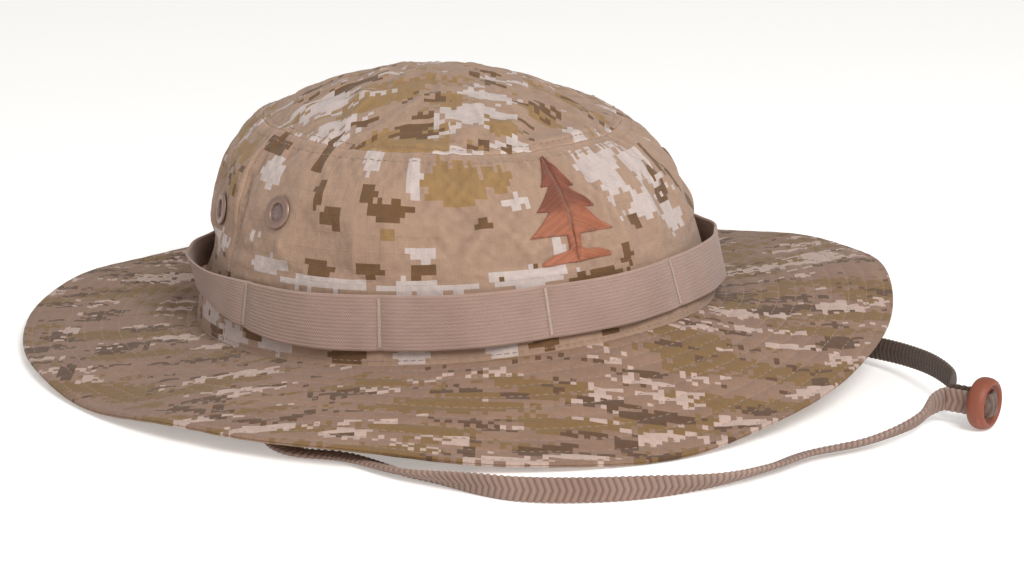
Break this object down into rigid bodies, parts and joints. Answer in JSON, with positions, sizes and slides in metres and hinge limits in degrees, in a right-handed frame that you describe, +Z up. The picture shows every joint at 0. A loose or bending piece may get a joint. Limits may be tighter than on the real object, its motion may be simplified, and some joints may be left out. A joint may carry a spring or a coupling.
{
  "type": "boonie hat",
  "caption": "Soft cloth sun hat with an oval crown, a wide row-stitched brim, a looped webbing band, side vents and a chin cord with a slide.",
  "frame": {"origin": "on the table the hat lies on, under the middle of the whole hat with its chin cord laid out in front", "axes": "+Z up out of the crown, -Y towards the front of the hat, +X towards the wearer's left"},
  "size_m": [0.309, 0.363, 0.0994],
  "materials": {
    "camo_cloth": "matte ripstop weave printed with a square-celled desert pattern",
    "lining_tape": "matte plain weave",
    "label_cloth": "smooth woven, blank",
    "interlining": "stiff open weave",
    "webbing": "ribbed webbing, slight sheen",
    "thread": "twisted sewing thread",
    "vent_paint": "dull painted brass, worn at the rim",
    "embroidery": "satin stitch thread, soft sheen",
    "braided_tape": "flat braid with chevron ribs",
    "keeper_leather": "burnished, darker at the edges"
  },
  "bodies": {
    "hat": {"crown_top": "camo_cloth", "crown_side_front": "camo_cloth", "crown_side_rear": "camo_cloth", "crown_seam_binding": "lining_tape", "sweatband": "lining_tape", "size_label": "label_cloth", "brim_top_ply": "camo_cloth", "brim_interlining": "interlining", "brim_bottom_ply": "camo_cloth", "foliage_band": "webbing", "band_tack_1": "thread", "band_tack_2": "thread", "band_tack_3": "thread", "band_tack_4": "thread", "band_tack_5": "thread", "band_tack_6": "thread", "band_tack_7": "thread", "band_tack_8": "thread", "vent_eyelet_right_front": "vent_paint", "vent_screen_right_front": "vent_paint", "vent_washer_right_front": "vent_paint", "vent_eyelet_right_rear": "vent_paint", "vent_screen_right_rear": "vent_paint", "vent_washer_right_rear": "vent_paint", "vent_eyelet_left_front": "vent_paint", "vent_screen_left_front": "vent_paint", "vent_washer_left_front": "vent_paint", "vent_eyelet_left_rear": "vent_paint", "vent_screen_left_rear": "vent_paint", "vent_washer_left_rear": "vent_paint", "emblem_patch": "embroidery", "cord_end_tab_right": "webbing", "cord_end_tab_left": "webbing"},
    "chin_cord": {"chin_cord": "braided_tape"},
    "cord_keeper": {"cord_keeper": "keeper_leather"}
  },
  "joints": [
    {"name": "chin_cord_swing", "type": "hinge", "parent": "hat", "child": "chin_cord", "pos_m": [0, 0.01651, 0.0104], "axis": [1, 0, 0], "range_deg": [0, 150]},
    {"name": "keeper_slide", "type": "slide", "parent": "chin_cord", "child": "cord_keeper", "axis": [-0.4618, 0.887, 0], "range_m": [0, 0.008]}
  ]
}
